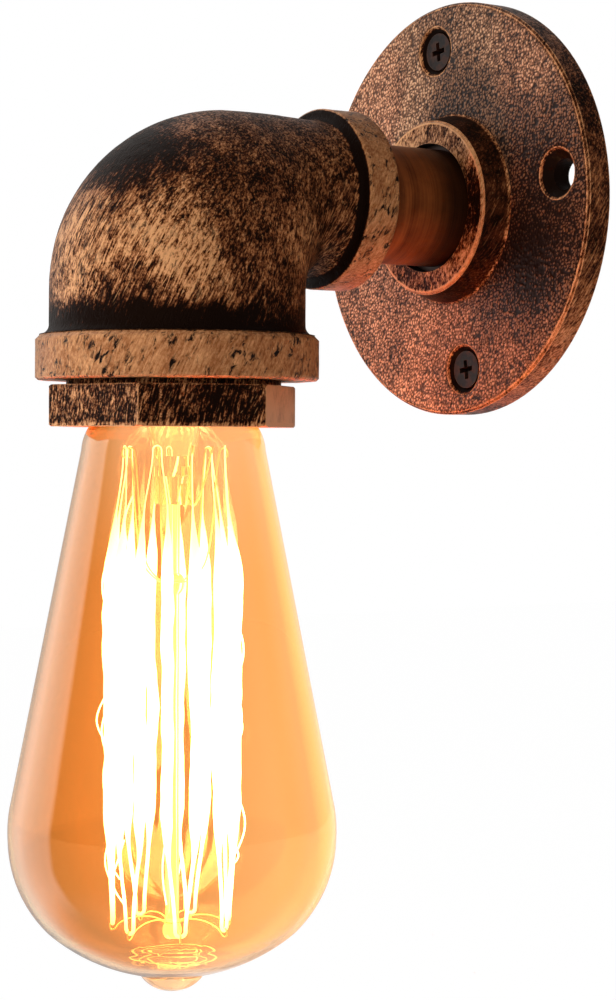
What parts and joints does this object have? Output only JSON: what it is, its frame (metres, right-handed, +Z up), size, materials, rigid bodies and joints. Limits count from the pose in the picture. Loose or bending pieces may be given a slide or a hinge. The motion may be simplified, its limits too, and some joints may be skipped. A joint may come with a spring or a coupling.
{
  "type": "industrial pipe wall light",
  "caption": "Wall light made of pipe fittings: a round wall flange, a short pipe, a reducing elbow and a hexagon bushing that hold a pear-shaped filament bulb pointing down.",
  "frame": {"origin": "centre of the wall flange's flat back face, on the wall plane and on the axis of the short pipe", "axes": "+Y points out of the back face into the wall, -Y out into the room along the pipe, +Z up, +X sideways; the bulb hangs along -Z"},
  "size_m": [0.0864, 0.1214, 0.1999],
  "materials": {
    "cast_bronze": "antique black-bronze paint on rough castings, copper rubbed through on the high spots and edges",
    "turned_bronze": "antique bronze paint over a turned tube with fine rings",
    "black_steel": "black phosphated steel, satin",
    "porcelain": "unglazed technical porcelain",
    "fibre": "red vulcanised fibre",
    "nickelled_brass": "nickel-plated brass sheet",
    "brass": "bright brass",
    "zinc_steel": "zinc-plated steel",
    "brown_insulation": "brown PVC insulation with a bare copper end",
    "blue_insulation": "blue PVC insulation with a bare copper end",
    "earth_insulation": "green and yellow PVC insulation with a bare copper end",
    "amber_glass": "clear blown glass with an amber tint",
    "clear_glass": "clear lamp-stem glass",
    "black_glass": "black glass insulation of the lamp cap",
    "glowing_filament": "carbonised filament wire, glowing warm white",
    "support_wire": "fine drawn support wire"
  },
  "bodies": {
    "wall_plate": {"wall_flange": "cast_bronze", "wall_screws": "black_steel", "pipe_nipple": "turned_bronze"},
    "elbow_arm": {"reducing_elbow": "cast_bronze", "hex_bushing": "cast_bronze", "lampholder_body": "porcelain", "sealing_washer": "fibre", "screw_shell": "nickelled_brass", "centre_contact": "brass", "side_contact": "brass", "contact_rivets": "brass", "live_terminal": "brass", "neutral_terminal": "brass", "terminal_screws": "zinc_steel", "live_lead": "brown_insulation", "neutral_lead": "blue_insulation", "earth_lead": "earth_insulation", "earth_lug": "zinc_steel", "earth_screw": "brass"},
    "bulb_feed": {"cap_tip_contact": "zinc_steel"},
    "bulb": {"bulb_glass": "amber_glass", "cap_shell": "nickelled_brass", "cap_insulator": "black_glass", "glass_stem": "clear_glass", "centre_rod": "clear_glass", "filament": "glowing_filament", "upper_supports": "support_wire", "lower_supports": "support_wire", "lead_in_wires": "support_wire"}
  },
  "joints": [
    {"name": "elbow_swivel", "type": "hinge", "parent": "wall_plate", "child": "elbow_arm", "pos_m": [0, -0.04, 0], "axis": [0, 1, 0], "range_deg": [-90, 90]},
    {"name": "bulb_travel", "type": "slide", "parent": "elbow_arm", "child": "bulb_feed", "axis": [0, 0, -1], "range_m": [0, 0.0183]},
    {"name": "bulb_turn", "type": "hinge", "parent": "bulb_feed", "child": "bulb", "pos_m": [0, -0.0754, -0.04], "axis": [0, 0, -1], "range_deg": [0, 1800]}
  ],
  "couplings": [
    {"joint": "bulb_travel", "follows": "bulb_turn", "m_per_rad": 0.00057757}
  ]
}
